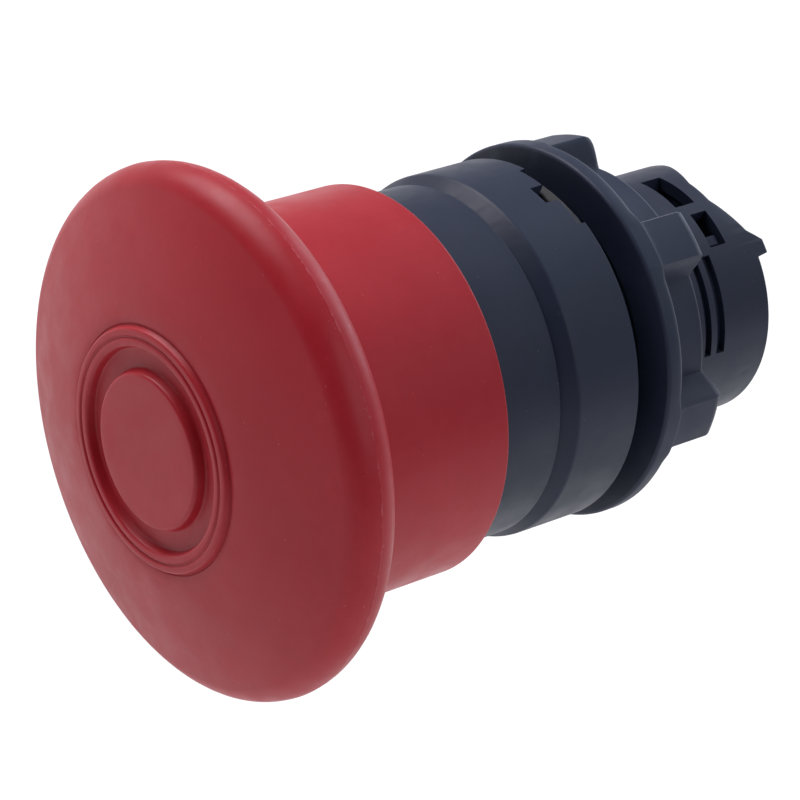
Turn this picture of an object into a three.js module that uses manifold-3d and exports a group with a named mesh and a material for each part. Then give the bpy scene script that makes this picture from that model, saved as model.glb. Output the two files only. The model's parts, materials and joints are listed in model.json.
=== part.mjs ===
// Emergency stop button: push-pull mushroom operator for a round 22 mm panel hole.
//
// Millimetres, +Z up (the locating key is at the top), +Y into the panel, so the red cap faces -Y.
// The origin is on the button's axis, in the plane of the panel's front surface.
// The model stands at rest with the cap pulled out (released).

import * as THREE from 'three';
import { mergeVertices } from 'three/addons/utils/BufferGeometryUtils.js';
import Module from 'manifold-3d';

// ---------------------------------------------------------------- driving dimensions

const FIT = 0.15;                  // radial clearance of sliding pieces
const SEAT = 0.1;                  // gap between faces that rest on each other

const CAP = {
  radius: 20, rimRadius: 2.4, rimY: -29.6, domeRadius: 50,
  discRadius: 5.95, discY: -34.95, channelRadius: 7.5, channelY: -34.08,
  ridgeRadius: 9.2, ridgeY: -34.8, grooveRadius: 8.4, grooveY: -34.6,
  skirtRadius: 15.0, skirtEnd: -13.8, bore: 13.85, ceiling: -30.2,
  bossRadius: 4.4, bossEnd: -22.0, screwHole: 1.2, screwHoleEnd: -30.0,
  ribs: 6, ribThickness: 1.0, ribEnd: -29.0,
};

const BODY = {
  sleeveRadius: 13.6, sleeveFront: -22.8, sleeveRear: -7.65, chamber: 12.2,
  sealGrooveRadius: 12.95, sealGrooveFront: -21.0, sealGrooveRear: -20.0,
  keyRibWidth: 2.0, keyRibRadius: 11.1,
  web: [-10.0, -5.0], webBore: 6.15, oringGroove: [-8.1, -6.9], oringGrooveRadius: 7.25,
  flangeRadius: 12.4, flangeRear: -2.5, neckRadius: 10.95,
  frontBore: 8.3, boreStep: 2.4, rearBore: 8.9,
  threadFront: 1.3, threadTurns: 5, pitch: 1.5, threadMinor: 10.05,
  rearRadius: 9.9, rearStart: 9.8, rearEnd: 17.2, toothHeight: 1.0,
  keyWidth: 2.9, keyRadius: 11.9, keyEnd: 1.7,
};

const GASKET = { inner: 11.2, outer: 13.4, front: -1.1, rear: 0 };

const BEZEL = {
  radius: 14.1, rear: -0.4, chamferEnd: -6.3, grooveRadius: 13.15, pocket: GASKET.outer + FIT,
  notchAngle: 3.8, notchDepth: 1.8, notchRadius: 12.9,
  recessAngle: 14.5, recessDepth: 0.6, recessRadius: 13.5,
};

const NUT = {
  front: 2.05, rear: 8.5, bore: 11.1, flangeRadius: 14.7, flangeRear: 3.65,
  bodyRadius: 11.95, lobeRadius: 14.3, lobes: 6, lobeTurn: 28, lobeTop: 7.5, lobeFoot: 12.5, chamfer: 0.7,
};

const PLUNGER = {
  plateRadius: 11.6, plate: [-21.9, -20.4], tubeRadius: 6.0, tubeEnd: -3.0,
  neckRadius: 3.95, coneStart: 0.4, coneEnd: 6.1, coneRadius: 5.6, rear: 7.0,
  bore: 3.2, boreFront: -17.0, screwHole: 1.7,
  ringGroove: [-4.75, -4.05], ringGrooveRadius: 5.0,
};

const SCREW = { gap: 0.7, head: 1.75, radius: 2.85 };
const LATCH = { y: 5.5, pinRadius: 1.55, outer: 8.3, cup: 0.95, cupDepth: 1.6, noseRadius: 0.8 };
const CARRIER = { front: 2.5, rear: 8.4, radius: 8.75, bore: 5.78 };
const REAR_BUSH = { front: 8.6, rear: 16.6, radius: 8.75, cavity: 7.2, guide: 14.9, nibRadius: 9.55 };
const PUSHER = {
  headRadius: 2.95, head: [2.4, 4.3], neckRadius: 1.9, crossFront: 10.6, crossRear: 15.8,
  hub: 3.2, armRadius: 6.2, armWidth: 2.6,
};
const SPRING_SEAT = { radius: 9.4, thickness: 0.5 };
const RETURN_SPRING = { wire: 0.6, radius: 8.0, turns: 5 };
const TRIGGER_SPRING = { wire: 0.4, radius: 2.3, turns: 10 };
const LATCH_SPRING = { wire: 0.22, radius: 0.6, turns: 4 };

const ROUND = 40;                  // segments of a large turned piece
const SMALL = 20;                  // segments of a small one

// ---------------------------------------------------------------- materials

const paint = (color, roughness, metalness = 0) =>
  new THREE.MeshStandardMaterial({ color, roughness, metalness });

const RED = paint(0xa3222b, 0.45);
const BLACK = paint(0x23262e, 0.5);
const RUBBER = paint(0x17181b, 0.8);
const ACETAL = paint(0xd9d6cb, 0.45);
const GREY = paint(0x6d7076, 0.5);
const STEEL = paint(0xb4b7bb, 0.3, 1);

// ---------------------------------------------------------------- solids and cuts

const manifold = await Module();
manifold.setup();

const radians = THREE.MathUtils.degToRad;

// Six times the signed volume of a triangle mesh, positive when its faces point out.
function signedVolume(points, triangles) {
  let sum = 0;
  const corner = (i) => new THREE.Vector3().fromArray(points, 3 * triangles[i]);
  for (let i = 0; i < triangles.length; i += 3) {
    sum += corner(i).dot(corner(i + 1).cross(corner(i + 2)));
  }
  return sum;
}

// A closed three.js geometry as a solid that can be joined and cut.
function solid(geometry) {
  const bare = geometry.clone();
  bare.deleteAttribute('normal');
  bare.deleteAttribute('uv');
  const merged = mergeVertices(bare, 1e-4);
  const points = merged.attributes.position.array;
  const index = merged.index.array;
  const triangles = [];
  for (let i = 0; i < index.length; i += 3) {
    const [a, b, c] = index.slice(i, i + 3);
    if (a !== b && b !== c && c !== a) triangles.push(a, b, c);
  }
  if (signedVolume(points, triangles) < 0) triangles.reverse();
  const mesh = new manifold.Mesh({
    numProp: 3,
    vertProperties: new Float32Array(points),
    triVerts: new Uint32Array(triangles),
  });
  return new manifold.Manifold(mesh);
}

// A solid as a flat-shaded geometry.
function geometryOf(body) {
  const { vertProperties, triVerts } = body.getMesh();
  const geometry = new THREE.BufferGeometry();
  geometry.setAttribute('position', new THREE.BufferAttribute(vertProperties, 3));
  geometry.setIndex(new THREE.BufferAttribute(triVerts, 1));
  const flat = geometry.toNonIndexed();
  flat.computeVertexNormals();
  return flat;
}

const join = (...bodies) => bodies.reduce((sum, body) => sum.add(body));
const cut = (body, ...tools) => tools.reduce((rest, tool) => rest.subtract(tool), body);

// A profile of [radius, y] points turned about the Y axis, closed here through the axis or back to its start.
function turned(profile, segments = ROUND) {
  const points = profile.map(([r, y]) => new THREE.Vector2(r, y));
  const onAxis = points[0].x === 0 && points.at(-1).x === 0;
  if (!onAxis) points.push(points[0].clone());
  return solid(new THREE.LatheGeometry(points, segments));
}

const ring = (inner, outer, front, rear, segments) =>
  turned([[inner, front], [outer, front], [outer, rear], [inner, rear]], segments);

const disc = (radius, front, rear, segments) =>
  turned([[0, front], [radius, front], [radius, rear], [0, rear]], segments);

// Points of an arc in a profile, angles in degrees from the outward direction towards +Y.
function arc(r, y, radius, from, to, steps) {
  return Array.from({ length: steps + 1 }, (_, i) => {
    const angle = radians(from + ((to - from) * i) / steps);
    return [r + radius * Math.cos(angle), y + radius * Math.sin(angle)];
  });
}

// An outline in X and Z, pushed along Y from front to rear.
function prism(shape, front, rear, curveSegments = 6) {
  const geometry = new THREE.ExtrudeGeometry(shape, {
    depth: rear - front, bevelEnabled: false, curveSegments,
  });
  return solid(geometry.rotateX(Math.PI / 2).translate(0, rear, 0));
}

const block = (x, y, z, width, depth, height) =>
  solid(new THREE.BoxGeometry(width, depth, height).translate(x, y, z));

// Part of a ring between two angles, in degrees clockwise from the top as seen from the front.
function sector(inner, outer, from, to, front, rear) {
  const shape = new THREE.Shape();
  const start = radians(90 - to);
  const end = radians(90 - from);
  shape.absarc(0, 0, outer, start, end, false);
  shape.absarc(0, 0, inner, end, start, true);
  return prism(shape, front, rear, 8);
}

// Turns a solid about the button's axis, in degrees clockwise as seen from the front.
const spun = (body, angle) => body.rotate([0, angle, 0]);

// Each solid, and again half a turn further.
const twice = (bodies) => [0, 180].flatMap((turn) => bodies.map((body) => spun(body, turn)));

// A turned profile laid across the button, its axis along +X, at station y.
const crossPin = (profile, y) => turned(profile, SMALL).rotate([0, 0, -90]).translate([0, y, 0]);

// A compression spring along Y: closed end turns and open ones between them.
function spring({ wire, radius, turns }, front, rear, steps, sides) {
  const length = rear - front - wire;
  const closed = wire * 1.12;
  const lift = (length - 2 * closed) / (turns - 2);
  const height = (turn) => {
    if (turn < 1) return closed * turn;
    if (turn > turns - 1) return length - closed * (turns - turn);
    return closed + lift * (turn - 1);
  };
  class Coil extends THREE.Curve {
    getPoint(t, target = new THREE.Vector3()) {
      const turn = t * turns;
      const angle = 2 * Math.PI * turn;
      return target.set(radius * Math.cos(angle), front + wire / 2 + height(turn), radius * Math.sin(angle));
    }
    getPointAt(t, target) {
      return this.getPoint(t, target);
    }
    getTangentAt(t, target) {
      return this.getTangent(t, target);
    }
  }
  const section = new THREE.Shape();
  section.absarc(0, 0, wire / 2, 0, 2 * Math.PI, false);
  const geometry = new THREE.ExtrudeGeometry(section, {
    extrudePath: new Coil(), steps: Math.round(steps * turns), curveSegments: sides, bevelEnabled: false,
  });
  return solid(geometry);
}

// ---------------------------------------------------------------- cap and plunger, which move together

function mushroomCap() {
  const c = CAP;
  const rimRadius = c.radius - c.rimRadius;
  const reach = c.domeRadius - c.rimRadius;
  const domeY = c.rimY + Math.sqrt(reach ** 2 - rimRadius ** 2);
  const domeAt = (r) => [r, domeY - Math.sqrt(c.domeRadius ** 2 - r ** 2)];
  const lean = THREE.MathUtils.radToDeg(Math.asin(rimRadius / reach));
  const outside = [
    [0, c.discY], [c.discRadius - 0.3, c.discY], [c.discRadius, c.discY + 0.25],
    [c.discRadius + 0.15, c.channelY], [c.channelRadius, c.channelY],
    [c.channelRadius + 0.2, c.ridgeY + 0.15], [c.channelRadius + 0.4, c.ridgeY],
    [c.grooveRadius - 0.18, c.ridgeY], [c.grooveRadius, c.grooveY], [c.grooveRadius + 0.18, c.ridgeY + 0.03],
    [c.ridgeRadius - 0.25, c.ridgeY + 0.08],
    ...[c.ridgeRadius, 11.2, 13, 14.8, 16.6].map(domeAt),
    ...arc(rimRadius, c.rimY, c.rimRadius, lean - 90, 78, 9),
    [c.skirtRadius + 1.1, c.rimY + 2.15], [c.skirtRadius + 0.35, c.rimY + 2.35],
    [c.skirtRadius + 0.05, c.rimY + 2.9],
    [c.skirtRadius, c.skirtEnd - 0.3], [c.skirtRadius - 0.25, c.skirtEnd],
  ];
  const inside = [
    [c.bore + 0.2, c.skirtEnd], [c.bore, c.skirtEnd - 0.3],
    [c.bore, c.ceiling + 0.6], [c.bore - 0.6, c.ceiling],
    [c.bossRadius, c.ceiling], [c.bossRadius, c.bossEnd],
    [c.screwHole, c.bossEnd], [c.screwHole, c.screwHoleEnd], [0, c.screwHoleEnd],
  ];
  const shell = turned([...outside, ...inside]);
  const span = c.bore - c.bossRadius + 0.6;
  const rib = block(
    c.bossRadius - 0.3 + span / 2, (c.ceiling - 0.3 + c.ribEnd) / 2, 0,
    span, c.ribEnd - c.ceiling + 0.3, c.ribThickness,
  );
  const ribs = Array.from({ length: c.ribs }, (_, i) => spun(rib, (360 / c.ribs) * i));
  return join(shell, ...ribs);
}

function plunger() {
  const p = PLUNGER;
  const [front, plateRear] = p.plate;
  const turnedBody = turned([
    [p.screwHole, front], [p.plateRadius, front], [p.plateRadius, plateRear],
    [p.tubeRadius + 0.6, plateRear], [p.tubeRadius, plateRear + 0.6],
    [p.tubeRadius, p.ringGroove[0]], [p.ringGrooveRadius, p.ringGroove[0]],
    [p.ringGrooveRadius, p.ringGroove[1]], [p.tubeRadius, p.ringGroove[1]],
    [p.tubeRadius, p.tubeEnd - 0.5], [p.tubeRadius - 0.5, p.tubeEnd], [p.neckRadius, p.tubeEnd],
    [p.neckRadius, p.coneStart], [p.coneRadius, p.coneEnd], [p.coneRadius, p.rear - 0.4],
    [p.coneRadius - 0.4, p.rear], [p.bore, p.rear],
    [p.bore, p.boreFront], [p.screwHole, p.boreFront],
  ]);
  const slotWidth = BODY.keyRibWidth + 2 * FIT;
  const slotDepth = p.plateRadius - BODY.keyRibRadius + 2 * FIT;
  const slots = [1, -1].map((side) => block(
    0, (front + plateRear) / 2, side * (p.plateRadius - slotDepth / 2 + 0.5),
    slotWidth, plateRear - front + 1, slotDepth + 1,
  ));
  return cut(turnedBody, ...slots);
}

// Pan-head screw that holds the cap's boss to the plunger, put in from inside the plunger's bore.
function capScrew() {
  const seat = PLUNGER.boreFront + SCREW.gap;
  const end = seat + SCREW.head;
  const tip = CAP.screwHoleEnd + 1.0;
  const shank = CAP.screwHole - 0.08;
  const screw = turned([
    [0, tip], [shank * 0.6, tip + 0.5], [shank, tip + 1.6], [shank, seat],
    [SCREW.radius - 0.25, seat], [SCREW.radius, seat + 0.3], [SCREW.radius - 0.15, end - 0.65],
    [SCREW.radius - 0.85, end - 0.15], [0, end],
  ], SMALL);
  const slot = block(0, end - 0.15, 0, 0.6, 1.4, 3 * SCREW.radius);
  return cut(screw, slot, spun(slot, 90));
}

// Split lock washer under the screw's head.
function screwWasher() {
  const front = PLUNGER.boreFront + SEAT;
  return cut(
    ring(PLUNGER.screwHole + 0.05, SCREW.radius - 0.05, front, PLUNGER.boreFront + SCREW.gap - SEAT, SMALL),
    block(SCREW.radius - 0.5, front, 0, 2, 2, 0.35),
  );
}

// Snap ring that stops the plunger from being pulled out through the web.
function stopRing() {
  const [front, rear] = PLUNGER.ringGroove;
  const gap = sector(PLUNGER.ringGrooveRadius - 1, 9, 165, 195, front - 1, rear + 1);
  return cut(ring(PLUNGER.ringGrooveRadius + 0.1, 7.6, front + 0.05, rear - 0.05, SMALL), gap);
}

// Collar pressed into the plunger's rear end: it pulls the pusher back by its head.
function plungerCollar() {
  const front = PUSHER.head[1] + 0.2;
  return ring(PUSHER.neckRadius + FIT, PLUNGER.bore - 0.06, front, PLUNGER.rear - 0.2, SMALL);
}

// ---------------------------------------------------------------- fixed pieces

function operatorBody() {
  const b = BODY;
  const thread = Array.from({ length: b.threadTurns }, (_, i) => {
    const y = b.threadFront + b.pitch * i;
    return [[b.neckRadius, y], [b.threadMinor, y + 0.7], [b.neckRadius, y + 1.4]];
  }).flat();
  const shell = turned([
    [b.chamber + 0.3, b.sleeveFront], [b.sleeveRadius - 0.3, b.sleeveFront],
    [b.sleeveRadius, b.sleeveFront + 0.4],
    [b.sleeveRadius, b.sealGrooveFront], [b.sealGrooveRadius, b.sealGrooveFront],
    [b.sealGrooveRadius, b.sealGrooveRear], [b.sleeveRadius, b.sealGrooveRear],
    [b.sleeveRadius, b.sleeveRear - 0.1], [b.sleeveRadius - 0.1, b.sleeveRear],
    [b.flangeRadius, b.sleeveRear], [b.flangeRadius, b.flangeRear], [b.neckRadius, b.flangeRear],
    ...thread, [b.rearRadius, b.rearStart],
    [b.rearRadius, b.rearEnd + b.toothHeight], [b.rearBore, b.rearEnd + b.toothHeight],
    [b.rearBore, b.boreStep], [b.frontBore, b.boreStep], [b.frontBore, b.web[1]],
    [b.webBore, b.web[1]], [b.webBore, b.oringGroove[1]], [b.oringGrooveRadius, b.oringGroove[1]],
    [b.oringGrooveRadius, b.oringGroove[0]], [b.webBore, b.oringGroove[0]],
    [b.webBore, b.web[0]], [b.chamber, b.web[0]], [b.chamber, b.sleeveFront + 0.3],
  ]);
  const key = block(
    0, (GASKET.front + b.keyEnd) / 2, (b.keyRadius + b.threadMinor) / 2,
    b.keyWidth, b.keyEnd - GASKET.front, b.keyRadius - b.threadMinor,
  );
  const ribLength = b.web[0] - b.sleeveFront - 0.5;
  const keyRibs = [1, -1].map((side) => block(
    0, b.web[0] - ribLength / 2 + 0.05, (side * (b.keyRibRadius + b.chamber + 0.3)) / 2,
    b.keyRibWidth, ribLength, b.chamber + 0.3 - b.keyRibRadius,
  ));
  return cut(join(shell, key, ...keyRibs), ...rearCuts());
}

// A sector with its stations measured from the start of the rear barrel.
const behind = (inner, outer, from, to, front, rear) =>
  sector(inner, outer, from, to, BODY.rearStart + front, BODY.rearStart + rear);

// The rear barrel takes the contact block's collar. Twice round it, cut into the wall: a locating dip and a
// stepped tooth on its end, two windows and two bayonet grooves. Angles are in degrees.
function rearCuts() {
  const b = BODY;
  const out = b.rearRadius + 1;
  const inside = b.rearBore - 1;
  const floor = b.rearRadius - 0.6;
  const past = b.rearEnd + b.toothHeight + 1;
  const dip = (half, depth) => sector(inside, out, -half, half, b.rearEnd - depth, past);
  const step = (to, height) => sector(inside, out, 20, to, b.rearEnd + height, past);
  const oneSide = [
    sector(inside, out, 40, 180 + 26, b.rearEnd, past), step(30, 0.25), step(33, 0.6),
    dip(5, 1.5), dip(12, 1.1), dip(20, 0.7),
    behind(inside, out, -18, 6, 2.4, 4.4), behind(inside, out, 12, 30, 3.1, 4.7),
    behind(floor, out, 33, 78, 0.55, 1.2), behind(floor, out, 33, 78, 1.8, 2.6),
  ];
  return twice(oneSide);
}

function skirtSeal() {
  const b = BODY;
  const front = b.sealGrooveFront + 0.08;
  const rear = b.sealGrooveRear - 0.08;
  const lip = CAP.bore - 0.1;
  return turned([
    [b.sealGrooveRadius + 0.06, front], [lip - 0.2, front], [lip, (front + rear) / 2],
    [lip - 0.2, rear], [b.sealGrooveRadius + 0.06, rear],
  ]);
}

function plungerORing() {
  const middle = (BODY.oringGroove[0] + BODY.oringGroove[1]) / 2;
  const wire = 0.45;
  const section = arc(PLUNGER.tubeRadius + FIT + wire, middle, wire, 0, 360, 8).slice(0, -1);
  return turned(section, SMALL);
}

function bezelRing() {
  const z = BEZEL;
  const front = BODY.sleeveRear + 0.15;
  const flangeGap = BODY.flangeRadius + 0.1;
  const lip = BODY.neckRadius + FIT;
  const body = turned([
    [flangeGap, front], [z.grooveRadius, front + 0.05], [z.radius - 0.03, z.chamferEnd - 0.05],
    [z.radius, z.chamferEnd + 0.05], [z.radius, z.rear - 0.2], [z.radius - 0.2, z.rear],
    [z.pocket, z.rear], [z.pocket, GASKET.front - SEAT], [lip, GASKET.front - SEAT],
    [lip, BODY.flangeRear + SEAT], [flangeGap, BODY.flangeRear + SEAT],
  ]);
  const out = z.radius + 1;
  const dent = (radius, half, depth) => sector(radius, out, -half, half, z.rear - depth, z.rear + 1);
  const notch = dent(z.notchRadius, z.notchAngle, z.notchDepth);
  const recess = dent(z.recessRadius, z.recessAngle, z.recessDepth);
  return cut(body, ...twice([notch, recess]));
}

function panelGasket() {
  const g = GASKET;
  const keyWay = block(0, 0, BODY.keyRadius, BODY.keyWidth + 0.4, 4, 1.6);
  return cut(ring(g.inner, g.outer, g.front, g.rear), keyWay);
}

// Hardened washer that carries the return spring's fixed end.
function springSeat() {
  const rear = BODY.web[0] - SEAT;
  return ring(PLUNGER.tubeRadius + 2 * FIT, SPRING_SEAT.radius, rear - SPRING_SEAT.thickness, rear, SMALL);
}

// Moulded ring that carries the two latch pins in cross holes.
function latchCarrier() {
  const c = CARRIER;
  const hole = LATCH.pinRadius + 0.1;
  const body = turned([
    [c.bore + 0.3, c.front], [c.radius - 0.3, c.front], [c.radius, c.front + 0.3],
    [c.radius, c.rear - 0.3], [c.radius - 0.3, c.rear], [c.bore, c.rear], [c.bore, c.front + 0.3],
  ]);
  const bore = crossPin([[0, -12], [hole, -12], [hole, 12], [0, 12]], LATCH.y);
  return cut(body, bore);
}

// Guide at the rear end. Its cross-shaped opening keeps the pusher from turning. It is open behind the
// barrel's windows, but for two tongues whose nibs snap into them.
function rearBush() {
  const r = REAR_BUSH;
  const body = turned([
    [r.cavity, r.front], [r.radius - 0.2, r.front], [r.radius, r.front + 0.3],
    [r.radius, r.rear - 0.3], [r.radius - 0.3, r.rear], [0, r.rear], [0, r.guide], [r.cavity, r.guide],
  ]);
  const past = r.radius + 1;
  const inside = r.cavity - 1;
  const root = r.cavity + 0.3;
  const windows = [behind(inside, past, -19, 7, 2.2, 4.6), behind(inside, past, 11, 31, 2.9, 4.8)];
  const tongue = join(behind(root, r.radius, 24, 29, 3.2, 5.1), behind(root, r.nibRadius, 24, 29, 3.2, 4.4));
  const opening = crossBar(FIT, r.guide - 1, r.rear + 1);
  return join(cut(body, opening, ...twice(windows)), ...twice([tongue]));
}

// A round hub with four arms, grown by a clearance.
function crossBar(clearance, front, rear) {
  const depth = rear - front;
  const middle = (front + rear) / 2;
  const reach = 2 * (PUSHER.armRadius + clearance);
  const width = PUSHER.armWidth + 2 * clearance;
  return join(
    disc(PUSHER.hub + clearance, front, rear, SMALL),
    block(0, middle, 0, reach, depth, width),
    block(0, middle, 0, width, depth, reach),
  );
}

// ---------------------------------------------------------------- other moving pieces

// The pusher works the contact block; the trigger spring in the plunger drives it.
function contactPusher() {
  const p = PUSHER;
  const [front, rear] = p.head;
  const stem = turned([
    [0, front], [p.headRadius - 0.3, front], [p.headRadius, front + 0.3], [p.headRadius, rear],
    [p.neckRadius, rear], [p.neckRadius, p.crossFront + 0.5], [0, p.crossFront + 0.5],
  ], SMALL);
  return join(stem, crossBar(0, p.crossFront, p.crossRear));
}

// Latch pin: a cup that holds its spring, with a rounded nose that rides on the plunger's cone.
function latchPin(side) {
  const l = LATCH;
  const p = PLUNGER;
  const share = (l.y - p.coneStart) / (p.coneEnd - p.coneStart);
  const nose = p.neckRadius + share * (p.coneRadius - p.neckRadius) + 0.12;
  const pin = crossPin([
    [0, nose], [0.45, nose + 0.05], [l.noseRadius, nose + 0.3], [l.pinRadius, nose + 1.0],
    [l.pinRadius, l.outer], [l.cup, l.outer], [l.cup, l.outer - l.cupDepth], [0, l.outer - l.cupDepth],
  ], l.y);
  return side > 0 ? pin : spun(pin, 180);
}

function latchSpring(side) {
  const inner = LATCH.outer - LATCH.cupDepth + 0.05;
  const coil = spring(LATCH_SPRING, inner, BODY.rearBore - 0.1, 8, 2);
  const across = coil.rotate([0, 0, -90]).translate([0, LATCH.y, 0]);
  return side > 0 ? across : spun(across, 180);
}

// Flanged nut with six grip lobes.
function fixingNut() {
  const n = NUT;
  const flange = turned([
    [n.bore + 0.4, n.front], [n.flangeRadius - 0.3, n.front], [n.flangeRadius, n.front + 0.3],
    [n.flangeRadius, n.flangeRear - 0.4], [n.flangeRadius - 0.4, n.flangeRear],
    [n.bodyRadius + 0.5, n.flangeRear + 0.2], [n.bodyRadius, n.flangeRear + 0.7],
    [n.bodyRadius, n.rear - n.chamfer], [n.bodyRadius - 0.4, n.rear - 0.2],
    [n.bore + 0.4, n.rear - 0.2], [n.bore, n.rear - 0.6], [n.bore, n.front + 0.4],
  ]);
  const at = (radius, angle) => [radius * Math.sin(radians(angle)), radius * Math.cos(radians(angle))];
  const foot = n.bore + 0.45;
  const outline = new THREE.Shape();
  outline.moveTo(...at(foot, -n.lobeFoot));
  for (let i = -4; i <= 4; i += 1) outline.lineTo(...at(n.lobeRadius, (n.lobeTop * i) / 4));
  outline.lineTo(...at(foot, n.lobeFoot));
  const blank = prism(outline, n.flangeRear - 0.6, n.rear);
  const envelope = turned([
    [0, n.front], [n.flangeRadius, n.front], [n.lobeRadius + 0.1, n.rear - n.chamfer],
    [n.lobeRadius - n.chamfer, n.rear], [0, n.rear],
  ]);
  const lobe = blank.intersect(envelope);
  const lobes = Array.from({ length: n.lobes }, (_, i) => spun(lobe, n.lobeTurn + (360 / n.lobes) * i));
  return join(flange, ...lobes);
}

// ---------------------------------------------------------------- assembly

const button = new THREE.Group();

function add(group, name, material, body) {
  const mesh = new THREE.Mesh(geometryOf(body), material);
  mesh.name = name;
  group.add(mesh);
}

const capGroup = new THREE.Group();
add(capGroup, 'mushroom_cap', RED, mushroomCap());
add(capGroup, 'plunger', ACETAL, plunger());
add(capGroup, 'cap_screw', STEEL, capScrew());
add(capGroup, 'screw_washer', STEEL, screwWasher());
add(capGroup, 'stop_ring', STEEL, stopRing());
add(capGroup, 'plunger_collar', ACETAL, plungerCollar());

const fixedGroup = new THREE.Group();
add(fixedGroup, 'operator_body', BLACK, operatorBody());
add(fixedGroup, 'bezel_ring', BLACK, bezelRing());
add(fixedGroup, 'panel_gasket', RUBBER, panelGasket());
add(fixedGroup, 'skirt_seal', RUBBER, skirtSeal());
add(fixedGroup, 'plunger_oring', RUBBER, plungerORing());
add(fixedGroup, 'spring_seat', STEEL, springSeat());
add(fixedGroup, 'latch_carrier', ACETAL, latchCarrier());
add(fixedGroup, 'rear_bush', BLACK, rearBush());

const movingGroup = new THREE.Group();
const springFront = PLUNGER.plate[1] + SEAT;
const springRear = BODY.web[0] - SPRING_SEAT.thickness - 2 * SEAT;
add(movingGroup, 'return_spring', STEEL, spring(RETURN_SPRING, springFront, springRear, 14, 3));
const triggerFront = PLUNGER.boreFront + SCREW.gap + SCREW.head + SEAT;
const triggerRear = PUSHER.head[0] - SEAT;
add(movingGroup, 'trigger_spring', STEEL, spring(TRIGGER_SPRING, triggerFront, triggerRear, 9, 3));
add(movingGroup, 'contact_pusher', GREY, contactPusher());
add(movingGroup, 'fixing_nut', BLACK, fixingNut());
for (const [name, side] of [['right', 1], ['left', -1]]) {
  add(movingGroup, `latch_pin_${name}`, STEEL, latchPin(side));
  add(movingGroup, `latch_spring_${name}`, STEEL, latchSpring(side));
}

button.add(capGroup, fixedGroup, movingGroup);

export default button;
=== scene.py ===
"""Emergency stop button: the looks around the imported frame.

Lengths in the tables and the profiles are millimetres; meshes are made in metres.
The button's axis is Y: the cap faces -Y. Angles round it are in degrees from the top (+Z) towards +X.
"""

import json
import math

import bmesh
import bpy
from mathutils import Matrix, Vector


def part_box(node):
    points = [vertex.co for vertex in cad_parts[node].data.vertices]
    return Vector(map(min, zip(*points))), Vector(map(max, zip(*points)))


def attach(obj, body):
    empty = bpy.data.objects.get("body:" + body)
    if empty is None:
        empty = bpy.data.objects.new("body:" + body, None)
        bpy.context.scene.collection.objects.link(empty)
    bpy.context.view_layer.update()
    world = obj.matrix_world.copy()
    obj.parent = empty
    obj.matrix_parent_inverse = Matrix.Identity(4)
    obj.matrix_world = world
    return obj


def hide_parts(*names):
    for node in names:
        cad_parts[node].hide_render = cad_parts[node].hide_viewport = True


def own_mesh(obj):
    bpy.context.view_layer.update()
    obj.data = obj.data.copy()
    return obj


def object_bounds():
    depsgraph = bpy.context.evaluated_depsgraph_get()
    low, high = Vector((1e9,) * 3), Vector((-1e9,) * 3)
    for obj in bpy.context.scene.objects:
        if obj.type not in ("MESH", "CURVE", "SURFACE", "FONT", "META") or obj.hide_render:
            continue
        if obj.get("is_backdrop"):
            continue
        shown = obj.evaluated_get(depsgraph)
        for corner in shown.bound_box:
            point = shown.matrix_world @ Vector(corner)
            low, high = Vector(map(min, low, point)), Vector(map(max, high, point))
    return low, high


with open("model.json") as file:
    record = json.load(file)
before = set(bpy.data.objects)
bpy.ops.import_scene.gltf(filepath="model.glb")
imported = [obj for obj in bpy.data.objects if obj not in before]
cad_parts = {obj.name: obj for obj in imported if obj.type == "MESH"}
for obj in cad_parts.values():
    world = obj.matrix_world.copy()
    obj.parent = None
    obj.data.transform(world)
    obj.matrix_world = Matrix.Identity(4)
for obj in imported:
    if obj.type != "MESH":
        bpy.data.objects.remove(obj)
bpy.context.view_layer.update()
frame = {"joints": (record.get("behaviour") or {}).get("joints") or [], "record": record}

MM = 0.001
ROUND = 2.0      # degrees between the columns of a large turned piece
SMALL = 5.0      # and of a small one
SHARP = 35       # degrees between two faces from which their edge stays sharp
CREASE = 40      # and from which soften() rounds it
NEAR = 1e-6      # a length or a sine below this counts as nought

# ---------------------------------------------------------------- sizes in mm


def span(node):
    """Front and rear ends of a CAD node along the axis."""
    low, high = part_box(node)
    return low.y / MM, high.y / MM


CAP_FRONT, SKIRT_END = span("mushroom_cap")
SLEEVE_FRONT = span("operator_body")[0]
BEZEL_FRONT, BEZEL_REAR = span("bezel_ring")
GASKET_FRONT, GASKET_REAR = span("panel_gasket")
NUT_FRONT, NUT_REAR = span("fixing_nut")
PLUNGER_FRONT, PLUNGER_REAR = span("plunger")
SCREW_TIP, SCREW_END = span("cap_screw")
CARRIER_FRONT, CARRIER_REAR = span("latch_carrier")
BUSH_FRONT, BUSH_REAR = span("rear_bush")
PUSHER_FRONT, PUSHER_REAR = span("contact_pusher")

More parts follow.
